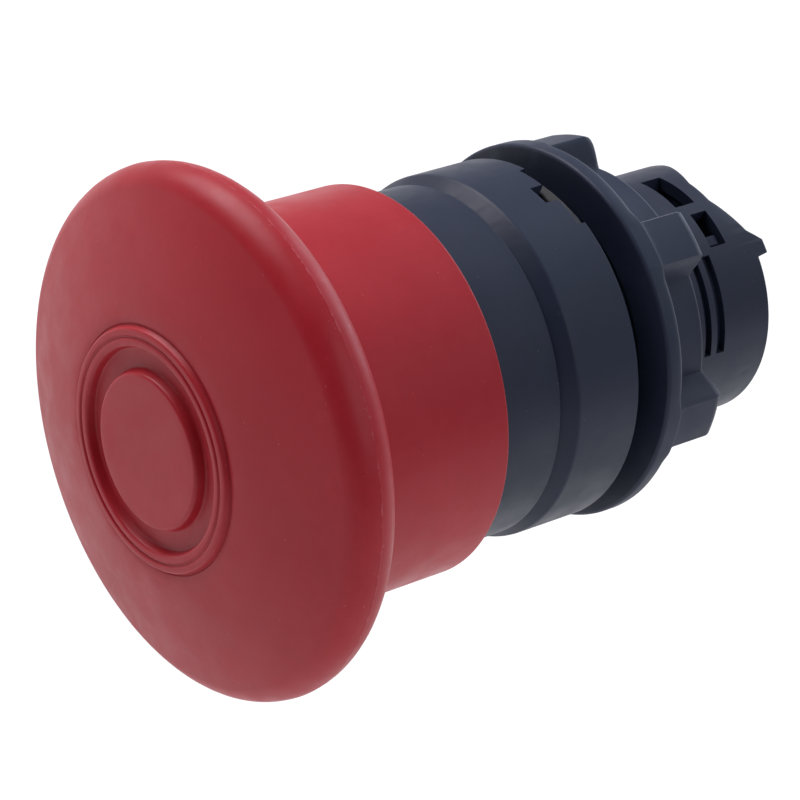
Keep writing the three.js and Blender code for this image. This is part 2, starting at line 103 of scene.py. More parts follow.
CAP = dict(
    radius=20.0, rim=2.4, rim_y=-29.6, flash=0.02, dome=50.0, disc=5.8, channel=7.5, channel_y=-34.08,
    groove=8.4, ridge=9.2, ridge_y=-34.8, skirt=15.0, bore=13.85, ceiling=-30.2, boss=4.4, boss_end=-22.0,
    hole=1.2, hole_end=-30.0, ribs=6, rib_height=1.2, rib_half=2.6, rib_slope=0.4,
)
DOME_RINGS = (9.9, 11, 12.2, 13.4, 14.6, 15.8, 16.8)
BODY = dict(
    sleeve=13.6, sleeve_rear=-7.65, chamber=12.2, seal_groove=12.95, seal_front=-21.0, seal_rear=-20.0,
    web_front=-10.0, web_rear=-5.0, web_bore=6.15, oring_groove=7.25, oring_front=-8.1, oring_rear=-6.9,
    flange=12.4, flange_rear=-2.5, neck=10.95, thread_front=1.3, thread_rear=9.0, pitch=1.5,
    thread_depth=0.9, front_bore=8.3, bore_step=2.4, rear_bore=8.9, barrel=9.9, barrel_front=9.8,
    barrel_rear=17.2, rim_reach=1.95, key=11.9, key_end=1.7, key_half=7.0,
)
BEZEL = dict(
    radius=14.1, chamfer_end=-6.3, groove=13.15, pocket=13.55, notch=3.8, notch_slope=0.25, notch_depth=1.8,
    notch_radius=12.9, recess=14.5, recess_slope=0.3, recess_depth=0.6,
)
GASKET = dict(bore=11.2, keyway=12.7, keyway_half=8.4, keyway_slope=0.6)
NUT = dict(
    bore=11.1, flange=14.7, flange_rear=3.65, body=11.95, fillet=0.3, fillet_limit=14.45,
    lobe=14.3, lobes=6, turn=28.0, top=7.3, foot=12.0,
)
PLUNGER = dict(
    plate=11.6, plate_rear=-20.4, slot=10.8, slot_half=5.9, slot_slope=0.4, tube=6.0, tube_end=-3.0,
    neck=3.95, cone_start=0.4, cone_end=6.1, cone=5.6, bore=3.2, bore_front=-17.0, hole=1.7,
    groove=5.0, groove_front=-4.75, groove_rear=-4.05,
)
SCREW = dict(
    point=1.6, shank=1.12, pitch=1.0, thread_depth=0.32, run_out=0.8, seat=-16.3, head=2.85, crown=2.1,
    recess=(0.5, 1.7, 0.6), recess_depth=0.9,
)
CARRIER = dict(outer=8.75, bore=5.78)
LATCH = dict(
    y=5.5, radius=1.55, flat=0.45, nose=0.8, taper=1.05, outer=8.3, cup=0.95, cup_depth=1.6, hole=1.65,
)
CROSS = dict(hub=3.2, arm=6.2, width=2.6, clearance=0.15)
PUSHER = dict(head=2.95, head_end=4.3, neck=1.9, cross_front=10.6, dimple=1.5, dimple_depth=0.25)
BUSH = dict(wall=8.75, cavity=7.2, guide=14.9, margin=0.2, margin_turn=1)
TONGUE = dict(first=24, last=29, front=13.0, rear=14.95, root=7.5, body=8.7, nib=9.55, nib_rear=14.2)

# ---------------------------------------------------------------- profiles


def rounded(profile, closed=True, steps=None):
    """Rounds the corners of a profile. Its points are (radius, y) or (radius, y, size of the rounding)."""
    points = []
    count = len(profile)
    for i, corner in enumerate(profile):
        here = Vector(corner[:2])
        size = corner[2] if len(corner) > 2 else 0
        if size == 0 or (not closed and i in (0, count - 1)):
            points.append(tuple(here))
            continue
        back = Vector(profile[i - 1][:2]) - here
        ahead = Vector(profile[(i + 1) % count][:2]) - here
        turn = math.pi - back.angle(ahead)
        trim = min(size * math.tan(turn / 2), 0.49 * min(back.length, ahead.length))
        radius = trim / math.tan(turn / 2)
        centre = here + (back.normalized() + ahead.normalized()).normalized() * radius / math.cos(turn / 2)
        start = here + back.normalized() * trim - centre
        side = 1 if back.cross(ahead) < 0 else -1
        parts = steps or max(2, math.ceil(math.degrees(turn) / 18))
        for k in range(parts + 1):
            angle = side * turn * k / parts
            c, s = math.cos(angle), math.sin(angle)
            points.append((centre.x + c * start.x - s * start.y, centre.y + s * start.x + c * start.y))
    return points


def arc(r, y, radius, first, last, steps):
    """Points of an arc in a profile; angles in degrees from outward towards +Y."""
    turn = [math.radians(first + (last - first) * k / steps) for k in range(steps + 1)]
    return [(r + radius * math.cos(a), y + radius * math.sin(a)) for a in turn]


def stationed(profile, radius, stations):
    """Adds a point at each station to the straight stretches of a profile at one radius."""
    points = [profile[0]]
    for before, after in zip(profile, profile[1:]):
        if abs(before[0] - radius) < NEAR and abs(after[0] - radius) < NEAR:
            low, high = sorted((before[1], after[1]))
            inside = [y for y in sorted(stations) if low + NEAR < y < high - NEAR]
            if before[1] > after[1]:
                inside.reverse()
            points += [(radius, y) for y in inside]
        points.append(after)
    return points


def morph(one, other, share):
    """A profile between two that have the same number of points."""
    return [(a + share * (c - a), b + share * (d - b)) for (a, b), (c, d) in zip(one, other)]


def eased(share, straight):
    """A share that runs partly straight and for the rest as a smooth step."""
    return straight * share + (1 - straight) * share * share * (3 - 2 * share)


def along(x, points):
    """The height at x of the straight lines through points (x, height)."""
    if x <= points[0][0]:
        return points[0][1]
    for (x0, h0), (x1, h1) in zip(points, points[1:]):
        if x <= x1:
            return h0 + (h1 - h0) * (x - x0) / (x1 - x0)
    return points[-1][1]


def fold(angle, period):
    """An angle measured from the nearest multiple of a period."""
    return (angle + period / 2) % period - period / 2


def wrapped(angle):
    """The same angle, from a quarter turn before the top to three quarters after it."""
    return round((angle + 90) % 360 - 90, 6)


def around(step, edges=()):
    """Angles round the axis: even ones, and each edge exactly."""
    edges = sorted({wrapped(edge) for edge in edges})
    even = [wrapped(i * step) for i in range(round(360 / step))]
    clear = [a for a in even if all(abs(fold(a - edge, 360)) > 0.4 * step for edge in edges)]
    return sorted(clear + edges)


def twice(edges):
    """The same edges, and again half a turn further."""
    return [edge + turn for turn in (0, 180) for edge in edges]

# ---------------------------------------------------------------- turned surfaces


def at(angle, r, y):
    """The point at an angle, radius and y, in metres."""
    turn = math.radians(angle)
    return Vector((r * math.sin(turn), y, r * math.cos(turn))) * MM


class Turned:
    """A surface of rings: a row for each point of the outline, a column for each angle."""

    def __init__(self, outline, angles=None, closed=True, whole=True):
        self.angles = angles or around(ROUND)
        self.profiles = [outline(angle) if callable(outline) else outline for angle in self.angles]
        self.bm = bmesh.new()
        self.rows = len(self.profiles[0])
        self.columns = len(self.angles)
        self.points = {}
        self.faces = {}
        poles = {}
        for column, (angle, profile) in enumerate(zip(self.angles, self.profiles)):
            for row, (r, y) in enumerate(profile):
                if r < NEAR and row not in poles:
                    poles[row] = self.bm.verts.new(at(angle, 0, y))
                self.points[row, column] = poles.get(row) or self.bm.verts.new(at(angle, r, y))
        for column in range(self.columns if whole else self.columns - 1):
            for row in range(self.rows if closed else self.rows - 1):
                self.quad(row, column)
        if not whole:
            for column in (0, self.columns - 1):
                self.bm.faces.new([self.points[row, column] for row in range(self.rows)])

    def corners(self, row, column):
        below = (row + 1) % self.rows
        beside = (column + 1) % self.columns
        return [(row, column), (row, beside), (below, beside), (below, column)]

    def quad(self, row, column):
        corners = list(dict.fromkeys(self.points[key] for key in self.corners(row, column)))
        if len(corners) > 2:
            self.faces[row, column] = self.bm.faces.new(corners)

    def row_at(self, r, y):
        """The row whose first point is nearest to a radius and y."""
        return min(range(self.rows), key=lambda row: math.dist(self.profiles[0][row], (r, y)))

    def clear(self, rows, columns):
        """Takes away the faces between two rows and two columns, and gives the keys of their corners."""
        for row in range(*rows):
            for column in range(*columns):
                self.bm.faces.remove(self.faces.pop((row, column)))
        border = [(rows[0], c) for c in range(*columns)] + [(r, columns[1]) for r in range(*rows)]
        border += [(rows[1], c) for c in range(columns[1], columns[0], -1)]
        return border + [(r, columns[0]) for r in range(rows[1], rows[0], -1)]

    def wall(self, upper, lower):
        """Joins two closed loops of points."""
        for i in range(len(upper)):
            self.bm.faces.new([upper[i - 1], upper[i], lower[i], lower[i - 1]])

    def window(self, outer, inner, front, rear, first, last):
        """An opening through the wall between two radii, between two stations and two angles."""
        columns = [self.angles.index(wrapped(first)), self.angles.index(wrapped(last))]
        out = self.clear([self.row_at(outer, front), self.row_at(outer, rear)], columns)
        self.clear([self.row_at(inner, rear), self.row_at(inner, front)], columns)
        across = self.row_at(outer, front) + self.row_at(inner, front)
        self.wall([self.points[key] for key in out], [self.points[across - r, c] for r, c in out])

    def pocket(self, outer, depth, front, rear, first, last):
        """A blind pocket in the outside."""
        columns = [self.angles.index(wrapped(first)), self.angles.index(wrapped(last))]
        rows = [self.row_at(outer, front), self.row_at(outer, rear)]
        border = self.clear(rows, columns)
        floor = {}
        for row in range(rows[0], rows[1] + 1):
            for column in range(columns[0], columns[1] + 1):
                y = self.profiles[column][row][1]
                floor[row, column] = self.bm.verts.new(at(self.angles[column], outer - depth, y))
        for row in range(*rows):
            for column in range(*columns):
                self.bm.faces.new([floor[key] for key in self.corners(row, column)])
        self.wall([self.points[key] for key in border], [floor[key] for key in border])

    def piece(self, name, turn=None):
        """The finished object; turn is a matrix that places a piece made about the Y axis."""
        bmesh.ops.recalc_face_normals(self.bm, faces=self.bm.faces)
        if turn is not None:
            bmesh.ops.transform(self.bm, matrix=turn, verts=self.bm.verts)
        return finished(name, self.bm)


def finished(name, bm):
    """An object from a bmesh, smooth but for its sharp edges."""
    mesh = bpy.data.meshes.new(name)
    bm.to_mesh(mesh)
    bm.free()
    mesh.shade_smooth()
    mesh.set_sharp_from_angle(angle=math.radians(SHARP))
    obj = bpy.data.objects.new(name, mesh)
    bpy.context.scene.collection.objects.link(obj)
    return obj


def soften(obj, width):
    """Rounds the creases of a piece, and steadies the shading."""
    bevel = obj.modifiers.new("soft_edges", "BEVEL")
    bevel.width = width * MM
    bevel.segments = 2
    bevel.limit_method = "ANGLE"
    bevel.angle_limit = math.radians(CREASE)
    steady(obj)
    return obj


def steady(obj):
    """Large faces lead the shading, so that small roundings don't bend it."""
    normals = obj.modifiers.new("steady_shading", "WEIGHTED_NORMAL")
    normals.keep_sharp = True
    normals.weight = 60
    return obj


def ring_section(node, inner, outer, rounding):
    """The section of a ring with rounded edges, as long as a CAD node."""
    front, rear = span(node)
    corners = [(inner, front), (outer, front), (outer, rear), (inner, rear)]
    return rounded([(*corner, rounding) for corner in corners])


def plain_ring(name, node, inner, outer, rounding):
    section = ring_section(node, inner, outer, rounding)
    return steady(Turned(section, around(SMALL)).piece(name))


def open_ring(name, node, inner, outer, rounding, middle, half_gap, steps):
    """A ring with a gap, half of it on each side of an angle."""
    section = ring_section(node, inner, outer, rounding)
    turn = 360 - 2 * half_gap
    angles = [middle + half_gap + turn * k / steps for k in range(steps + 1)]
    return steady(Turned(section, angles, whole=False).piece(name))


def threaded(profile, radius, front, rear, pitch, depth, angle):
    """Lowers the rows at one radius between two stations into a right-handed thread."""
    flank = [(0.12, 0), (0.9, 1)]
    run_in = pitch / 3
    points = []
    for r, y in profile:
        if front <= y < rear and abs(r - radius) < NEAR:
            phase = abs(((y - front) / pitch - angle / 360) % 1 - 0.5) * 2
            r -= depth * min(1, (y - front) / run_in) * along(phase, flank)
        points.append((r, y))
    return points


def turns_of(front, rear, step):
    """Stations for a thread."""
    return [front + step * k for k in range(round((rear - front) / step))]


def coil(name, front, rear, wire, radius, turns, turn=None):
    """A compression spring along Y, with closed end turns."""
    sides, per_turn = 12, 40
    length = rear - front - wire
    closed = 1.12 * wire
    lift = [(0, 0), (1, closed), (turns - 1, length - closed), (turns, length)]
    bm = bmesh.new()
    loops = []
    for i in range(turns * per_turn + 1):
        angle = 360 * i / per_turn
        y = front + wire / 2 + along(i / per_turn, lift)
        section = [math.tau * k / sides for k in range(sides)]
        loops.append([bm.verts.new(at(angle, radius + wire / 2 * math.cos(s), y + wire / 2 * math.sin(s)))
                      for s in section])
    for before, after in zip(loops, loops[1:]):
        for k in range(sides):
            bm.faces.new([before[k - 1], before[k], after[k], after[k - 1]])
    for end in (loops[0], loops[-1]):
        bm.faces.new(end)
    bmesh.ops.recalc_face_normals(bm, faces=bm.faces)
    if turn is not None:
        bmesh.ops.transform(bm, matrix=turn, verts=bm.verts)
    return finished(name, bm)


def across(side):
    """Places a piece made about Y across the button at the latch pins, pointing to +X or -X."""
    return Matrix.Translation((0, LATCH["y"] * MM, 0)) @ Matrix.Rotation(-side * math.pi / 2, 4, "Z")


def drilled(obj, tool):
    """Cuts a tool's shape out of an object."""
    hole = obj.modifiers.new("hole", "BOOLEAN")
    hole.object = tool
    hole.solver = "EXACT"
    ready = obj.evaluated_get(bpy.context.evaluated_depsgraph_get())
    mesh = bpy.data.meshes.new_from_object(ready)
    obj.modifiers.clear()
    obj.data = mesh
    mesh.set_sharp_from_angle(angle=math.radians(SHARP))
    bpy.data.objects.remove(tool)
    return obj


def cross_radius(angle, hub, arm, width):
    """Radius of a cross with four arms round a hub, in a direction."""
    turn = math.radians(abs(fold(angle, 90)))
    side = width / 2 / max(math.sin(turn), NEAR)
    return max(hub, min(arm / math.cos(turn), side))


def cross_angles(hub, arm, width, others=()):
    """Columns that follow a cross's corners, and other edges."""
    tip = math.degrees(math.atan2(width / 2, arm))
    root = math.degrees(math.asin(width / 2 / hub))
    edges = [90 * k + side * corner for k in range(4) for side in (1, -1) for corner in (tip, root)]
    return around(SMALL / 2, [*edges, *others])

# ---------------------------------------------------------------- red cap


def mushroom_cap():
    c = CAP
    edge = c["radius"] - c["rim"]
    pull = c["dome"] - c["rim"]
    dome_y = c["rim_y"] + math.sqrt(pull**2 - edge**2)
    lean = math.degrees(math.asin(edge / pull))
    dome = [(r, dome_y - math.sqrt(c["dome"] ** 2 - r**2)) for r in DOME_RINGS]
    ridge, groove, foot = c["ridge_y"], c["groove"], dome[0][1]
    relief = [
        (0, CAP_FRONT), (c["disc"] - 1.0, CAP_FRONT), (c["disc"], CAP_FRONT, 0.32),
        (c["disc"] + 0.2, c["channel_y"], 0.2), (c["channel"], c["channel_y"], 0.2),
        (c["channel"] + 0.22, ridge, 0.3), (groove - 0.16, ridge, 0.16), (groove, ridge + 0.2, 0.1),
        (groove + 0.16, ridge, 0.16), (c["ridge"] - 0.18, ridge + 0.03, 0.22),
        (c["ridge"], foot + 0.14, 0.06), (c["ridge"] + 0.14, foot + 0.02, 0.1), dome[0],
    ]
    full, line = c["radius"], c["rim_y"]
    rim = arc(edge, line, c["rim"], lean - 90, -4, 12)
    rim += [(full, line - 0.07), (full + c["flash"], line), (full, line + 0.07)]
    rim += arc(edge, line, c["rim"], 4, 80, 10)
    skirt = rounded([
        rim[-1], (c["skirt"] + 0.25, line + 2.42, 1.0), (c["skirt"] + 0.03, line + 5.0),
        (c["skirt"], SKIRT_END, 0.22), (c["bore"], SKIRT_END, 0.25),
        (c["bore"], c["ceiling"], 0.6), (c["boss"], c["ceiling"], 0.4), (c["boss"], c["boss_end"], 0.25),
        (c["hole"], c["boss_end"], 0.2), (c["hole"], c["hole_end"]), (0, c["hole_end"]),
    ], closed=False)[1:]
    profile = rounded(relief, closed=False) + dome[1:] + rim + skirt
    outside = len(profile) - len(skirt) + 4
    half, foot_half = c["rib_half"], c["rib_half"] + c["rib_slope"]
    period = 360 / c["ribs"]

    def on_ceiling(i, r, y):
        return i > outside and y < c["ceiling"] + 0.7 and c["boss"] + 0.4 < r

    def outline(angle):
        share = along(abs(fold(angle, period)), [(half, 1), (foot_half, 0)])
        rise = share * c["rib_height"]
        return [(r, y + rise if on_ceiling(i, r, y) else y) for i, (r, y) in enumerate(profile)]

    edges = [period * k + side * x for k in range(c["ribs"]) for side in (1, -1) for x in (half, foot_half)]
    return steady(Turned(outline, around(ROUND, edges), closed=False).piece("cap_moulding"))

# ---------------------------------------------------------------- black pieces


# How far the barrel's rear edge stands out (+) or in (-) at each angle: a dip at the top, then a tooth.
BARREL_RIM = [
    (-90, 0), (-33, 0), (-28, -0.2), (-7, -1.5), (7, -1.5),
    (27, -0.1), (33, 1.0), (39.4, 1.0), (40.2, 0), (90, 0),
]
# Openings in the barrel's side: front and rear ends, first and last angles.
WINDOWS = [(12.2, 14.2, -18, 6), (12.9, 14.5, 12, 30)]
GROOVES = [(10.35, 11.0, 33, 78), (11.6, 12.4, 33, 78)]
GROOVE_DEPTH = 0.6


def operator_body():
    b = BODY
    barrel, inner, rear = b["barrel"], b["rear_bore"], b["barrel_rear"]
    thread = turns_of(b["thread_front"], b["thread_rear"], b["pitch"] / 12)
    reach = b["rim_reach"]
    profile = rounded([
        (b["chamber"], SLEEVE_FRONT, 0.3), (b["sleeve"], SLEEVE_FRONT, 0.35),
        (b["sleeve"], b["seal_front"], 0.08), (b["seal_groove"], b["seal_front"], 0.08),
        (b["seal_groove"], b["seal_rear"], 0.08), (b["sleeve"], b["seal_rear"], 0.08),
        (b["sleeve"], b["sleeve_rear"], 0.15), (b["flange"], b["sleeve_rear"], 0.1),
        (b["flange"], b["flange_rear"], 0.15), (b["neck"], b["flange_rear"], 0.1),
        *((b["neck"], y) for y in thread),
        (barrel, b["thread_rear"] + 0.3, 0.2), (barrel, b["barrel_front"] + 0.3), (barrel, rear - reach),
        (barrel, rear, 0.2), (inner, rear, 0.15), (inner, rear - reach), (inner, b["bore_step"], 0.1),
        (b["front_bore"], b["bore_step"], 0.1), (b["front_bore"], b["web_rear"], 0.2),
        (b["web_bore"], b["web_rear"], 0.2), (b["web_bore"], b["oring_rear"], 0.06),
        (b["oring_groove"], b["oring_rear"], 0.06), (b["oring_groove"], b["oring_front"], 0.06),
        (b["web_bore"], b["oring_front"], 0.06), (b["web_bore"], b["web_front"], 0.2),
        (b["chamber"], b["web_front"], 0.4),
    ])
    stations = sorted({y for front, end, *_ in WINDOWS + GROOVES for y in (front, end)})
    profile = stationed(stationed(profile, barrel, stations), inner, stations)

    def outline(angle):
        lift = along(fold(angle, 180), BARREL_RIM)
        points = []
        for r, y in threaded(profile, b["neck"], b["thread_front"], b["thread_rear"], b["pitch"],
                             b["thread_depth"], angle):
            if y > rear - reach - 0.01 and r > inner - 0.01:
                y += lift * min(1, (y - rear + reach) / (reach - 0.4))
            points.append((r, y))
        return points

    edges = [x for _, _, first, last in WINDOWS + GROOVES for x in (first, last)]
    edges += [x for x, _ in BARREL_RIM[1:-1]]
    shell = Turned(outline, around(ROUND, twice(edges)))
    for turn in (0, 180):
        for front, end, first, last in WINDOWS:
            shell.window(barrel, inner, front, end, first + turn, last + turn)
        for front, end, first, last in GROOVES:
            shell.pocket(barrel, GROOVE_DEPTH, front, end, first + turn, last + turn)
    return soften(shell.piece("body_moulding"), 0.06)


def locating_key():
    """The key at the top of the barrel, that sits in the panel's slot."""
    b = BODY
    root = b["neck"] - b["thread_depth"]
    front, rear = GASKET_FRONT + 0.05, b["key_end"]
    profile = rounded([(root, front), (b["key"], front, 0.2), (b["key"], rear, 0.35), (root, rear)])
    angles = [b["key_half"] * k / 6 for k in range(-6, 7)]
    return soften(Turned(profile, angles, whole=False).piece("locating_key"), 0.12)


def skirt_seal():
    b = BODY
    lip = CAP["bore"] - 0.1
    front, rear = b["seal_front"] + 0.08, b["seal_rear"] - 0.08
    middle = (front + rear) / 2
    profile = rounded([
        (b["seal_groove"] + 0.06, front, 0.1), (lip - 0.25, front, 0.2), (lip, middle, 0.12),
        (lip - 0.25, rear, 0.2), (b["seal_groove"] + 0.06, rear, 0.1),
    ])
    return steady(Turned(profile).piece("lip_seal"))


def plunger_oring():
    wire = 0.45
    middle = (BODY["oring_front"] + BODY["oring_rear"]) / 2
    profile = arc(PLUNGER["tube"] + 0.15 + wire, middle, wire, 0, 345, 23)
    return Turned(profile, around(SMALL)).piece("o_ring")


def bezel_ring():
    z = BEZEL
    notch_foot, recess_foot = z["notch"] + z["notch_slope"], z["recess"] + z["recess_slope"]
    flange, lip = BODY["flange"] + 0.1, BODY["neck"] + 0.15
    pocket = GASKET_FRONT - 0.1
    behind = BODY["flange_rear"] + 0.1

    def section(drop, wall):
        """The ring's section, its rear edge lowered and cut in to a radius."""
        return rounded([
            (flange, BEZEL_FRONT, 0.1), (z["groove"], BEZEL_FRONT, 0.15),
            (z["radius"], z["chamfer_end"], 0.5), (z["radius"], BEZEL_REAR - drop, 0.16),
            (wall, BEZEL_REAR - drop, 0.1), (wall, pocket, 0.1), (lip, pocket, 0.1), (lip, behind, 0.1),
            (flange, behind, 0.1),
        ])

    plain = section(0, z["pocket"])
    recessed = section(z["recess_depth"], z["pocket"])
    notched = section(z["notch_depth"], z["notch_radius"])

    def outline(angle):
        off = abs(fold(angle, 180))
        low = morph(plain, recessed, along(off, [(z["recess"], 1), (recess_foot, 0)]))
        return morph(low, notched, along(off, [(z["notch"], 1), (notch_foot, 0)]))

    edges = [side * x for side in (1, -1) for x in (z["notch"], notch_foot, z["recess"], recess_foot)]
    return soften(Turned(outline, around(ROUND, twice(edges))).piece("bezel_moulding"), 0.06)


def panel_gasket():
    g = GASKET
    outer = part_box("panel_gasket")[1].x / MM
    half, foot = g["keyway_half"], g["keyway_half"] + g["keyway_slope"]

    def outline(angle):
        bore = along(abs(fold(angle, 360)), [(half, g["keyway"]), (foot, g["bore"])])
        return rounded([
            (bore, GASKET_FRONT, 0.1), (outer, GASKET_FRONT, 0.2), (outer, GASKET_REAR, 0.3),
            (bore, GASKET_REAR, 0.1),
        ])

    return steady(Turned(outline, around(ROUND, [half, foot, -half, -foot])).piece("gasket_sheet"))


def fixing_nut():
    n = NUT
    groove = n["flange_rear"] + 0.1
    period = 360 / n["lobes"]

    def section(body, end, chamfer):
        return rounded([
            (n["bore"], NUT_FRONT, 0.4), (n["flange"], NUT_FRONT, 0.3),
            (n["flange"], n["flange_rear"], 0.55),
            (min(body + n["fillet"], n["fillet_limit"]), groove - 0.05), (body, groove + 0.5),
            (body, end, chamfer), (n["bore"], end, 0.35),
        ], steps=5)

    plain = section(n["body"], NUT_REAR - 0.2, 0.4)
    lobed = section(n["lobe"], NUT_REAR, 0.95)

    def outline(angle):
        off = abs(fold(angle - n["turn"], period))
        share = along(off, [(n["top"], 1), (n["foot"], 0)])
        return morph(plain, lobed, eased(share, 0.35))

    flank = [n["top"] + (n["foot"] - n["top"]) * k / 8 for k in range(9)]
    middles = [n["turn"] + period * k for k in range(n["lobes"])]
    edges = [middle + side * x for middle in middles for side in (1, -1) for x in flank]
    return steady(Turned(outline, around(ROUND, edges)).piece("nut_moulding"))


def rear_bush():
    """Guide of the pusher, open where the barrel has its windows."""
    wall, cavity, guide = BUSH["wall"], BUSH["cavity"], BUSH["guide"]
    slack = CROSS["clearance"]
    cross = (CROSS["hub"] + slack, CROSS["arm"] + slack, CROSS["width"] + 2 * slack)
    more, more_turn = BUSH["margin"], BUSH["margin_turn"]
    openings = [(front - more, end + more, first - more_turn, last + more_turn)
                for front, end, first, last in WINDOWS]
    stations = [y for front, end, *_ in openings for y in (front, end)]

    def outline(angle):
        opening = cross_radius(angle, *cross)
        profile = rounded([
            (opening, guide, 0.15), (cavity, guide, 0.15), (cavity, BUSH_FRONT, 0.2),
            (wall, BUSH_FRONT, 0.3), (wall, BUSH_REAR, 0.3), (opening, BUSH_REAR, 0.2),
        ], steps=5)
        return stationed(stationed(profile, wall, stations), cavity, stations)

    edges = twice([x for *_, first, last in openings for x in (first, last)])
    shell = Turned(outline, cross_angles(*cross, edges))
    for turn in (0, 180):
        for front, end, first, last in openings:
            shell.window(wall, cavity, front, end, first + turn, last + turn)
    return soften(shell.piece("bush_moulding"), 0.06)


def snap_tongue(turn):
    """A tongue of the bush, whose nib sits in a window."""
    t = TONGUE
    root, body = t["root"], t["body"]
    profile = rounded([
        (root, t["front"], 0.15), (t["nib"], t["front"], 0.3), (t["nib"], t["nib_rear"], 0.12),
        (body, t["nib_rear"], 0.08), (body, t["rear"]), (root, t["rear"]),
    ])
    angles = [turn + t["first"] + (t["last"] - t["first"]) * k / 4 for k in range(5)]
    return soften(Turned(profile, angles, whole=False).piece(f"snap_tongue_{turn}"), 0.06)

# ---------------------------------------------------------------- moving pieces inside


def contact_pusher():
    p = PUSHER
    dimple_floor = PUSHER_REAR - p["dimple_depth"]
    cross = (CROSS["hub"], CROSS["arm"], CROSS["width"])

    def outline(angle):
        arm = cross_radius(angle, *cross)
        return rounded([
            (0, PUSHER_FRONT), (p["head"], PUSHER_FRONT, 0.3), (p["head"], p["head_end"], 0.12),
            (p["neck"], p["head_end"], 0.12), (p["neck"], p["cross_front"], 0.2),
            (arm, p["cross_front"], 0.2), (arm, PUSHER_REAR, 0.35), (p["dimple"], PUSHER_REAR, 0.2),
            (p["dimple"] - 0.2, dimple_floor, 0.1), (0, dimple_floor),
        ], closed=False, steps=5)

    return steady(Turned(outline, cross_angles(*cross), closed=False).piece("pusher_moulding"))


def plunger():
    p = PLUNGER
    half, foot = p["slot_half"], p["slot_half"] + p["slot_slope"]

    def outline(angle):
        plate = along(abs(fold(angle, 180)), [(half, p["slot"]), (foot, p["plate"])])
        return rounded([
            (p["hole"], PLUNGER_FRONT, 0.15), (plate, PLUNGER_FRONT, 0.3), (plate, p["plate_rear"], 0.3),
            (p["tube"], p["plate_rear"], 0.7), (p["tube"], p["groove_front"], 0.06),
            (p["groove"], p["groove_front"], 0.06), (p["groove"], p["groove_rear"], 0.06),
            (p["tube"], p["groove_rear"], 0.06), (p["tube"], p["tube_end"], 0.5),
            (p["neck"], p["tube_end"], 0.3), (p["neck"], p["cone_start"], 0.6),
            (p["cone"], p["cone_end"], 0.4), (p["cone"], PLUNGER_REAR, 0.4), (p["bore"], PLUNGER_REAR, 0.2),
            (p["bore"], p["bore_front"], 0.2), (p["hole"], p["bore_front"], 0.1),
        ])

    edges = twice([-foot, -half, half, foot])
    return steady(Turned(outline, around(SMALL / 2, edges)).piece("plunger_moulding"))


def cap_screw():
    s = SCREW
    shank, seat, head, floor = s["shank"], s["seat"], s["head"], SCREW_END - s["recess_depth"]
    front, rear = SCREW_TIP + s["point"], seat - s["run_out"]
    stations = turns_of(front, rear, s["pitch"] / 10)

    def outline(angle):
        slot = cross_radius(angle, *s["recess"])
        profile = rounded([
            (0, SCREW_TIP), (0.67, SCREW_TIP + 0.5, 0.1), (shank, front),
            *((shank, y) for y in stations), (shank, seat, 0.1), (head, seat, 0.25),
            (head - 0.1, seat + 0.9, 0.5), (s["crown"], SCREW_END - 0.05, 0.5), (slot, SCREW_END, 0.08),
            (slot - 0.05, floor, 0.08), (0, floor),
        ], closed=False, steps=4)
        return threaded(profile, shank, front, rear, s["pitch"], s["thread_depth"], angle)

    return steady(Turned(outline, cross_angles(*s["recess"]), closed=False).piece("pan_head_screw"))


def split_washer():
    inner, outer = PLUNGER["hole"] + 0.05, 2.8
    return open_ring("split_washer", "screw_washer", inner, outer, 0.1, middle=0, half_gap=5.0, steps=80)


def snap_ring():
    inner, outer = PLUNGER["groove"] + 0.1, 7.6
    return open_ring("snap_ring", "stop_ring", inner, outer, 0.12, middle=180, half_gap=15.0, steps=90)


def plunger_collar():
    inner, outer = 2.05, PLUNGER["bore"] - 0.06
    return plain_ring("pressed_collar", "plunger_collar", inner, outer, 0.15)


def spring_seat():
    inner, outer = PLUNGER["tube"] + 0.3, 9.4
    return plain_ring("seat_washer", "spring_seat", inner, outer, 0.12)


def latch_carrier():
    """The ring that guides the pins, with one hole drilled right across it."""
    outer, bore = CARRIER["outer"], CARRIER["bore"]
    ring = Turned(rounded([
        (bore, CARRIER_FRONT, 0.4), (outer, CARRIER_FRONT, 0.3), (outer, CARRIER_REAR, 0.3),
        (bore, CARRIER_REAR, 0.2),
    ]), around(SMALL / 2)).piece("carrier_moulding")
    hole, reach = LATCH["hole"], 12
    drill = [(0, -reach), (hole, -reach), (hole, reach), (0, reach)]
    tool = Turned(drill, around(SMALL), closed=False).piece("drill", across(1))
    return soften(drilled(ring, tool), 0.1)


def latch_pin(name, side):
    low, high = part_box(f"latch_pin_{name}")
    nose = min(abs(low.x), abs(high.x)) / MM
    x = LATCH
    floor = x["outer"] - x["cup_depth"]
    profile = rounded([
        (0, nose), (x["flat"], nose + 0.05, 0.4), (x["nose"], nose + 0.35, 0.4),
        (x["radius"], nose + x["taper"], 0.4), (x["radius"], x["outer"], 0.2), (x["cup"], x["outer"], 0.15),
        (x["cup"], floor, 0.15), (0, floor),
    ], closed=False)
    return steady(Turned(profile, around(SMALL), closed=False).piece(f"detent_pin_{name}", across(side)))


def return_spring():
    return coil("main_coil", *span("return_spring"), wire=0.6, radius=8.0, turns=5)


def trigger_spring():
    return coil("trigger_coil", *span("trigger_spring"), wire=0.4, radius=2.3, turns=10)


def latch_spring(name, side):
    low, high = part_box(f"latch_spring_{name}")
    near, far = sorted((abs(low.x) / MM, abs(high.x) / MM))
    return coil(f"latch_coil_{name}", near, far, wire=0.22, radius=0.6, turns=4, turn=across(side))

# ---------------------------------------------------------------- materials


# Where most values of a noise lie, and the far end of them, which leaves a few specks.
MOST = (0.3, 0.7)
FEW = (0.845, 0.90)

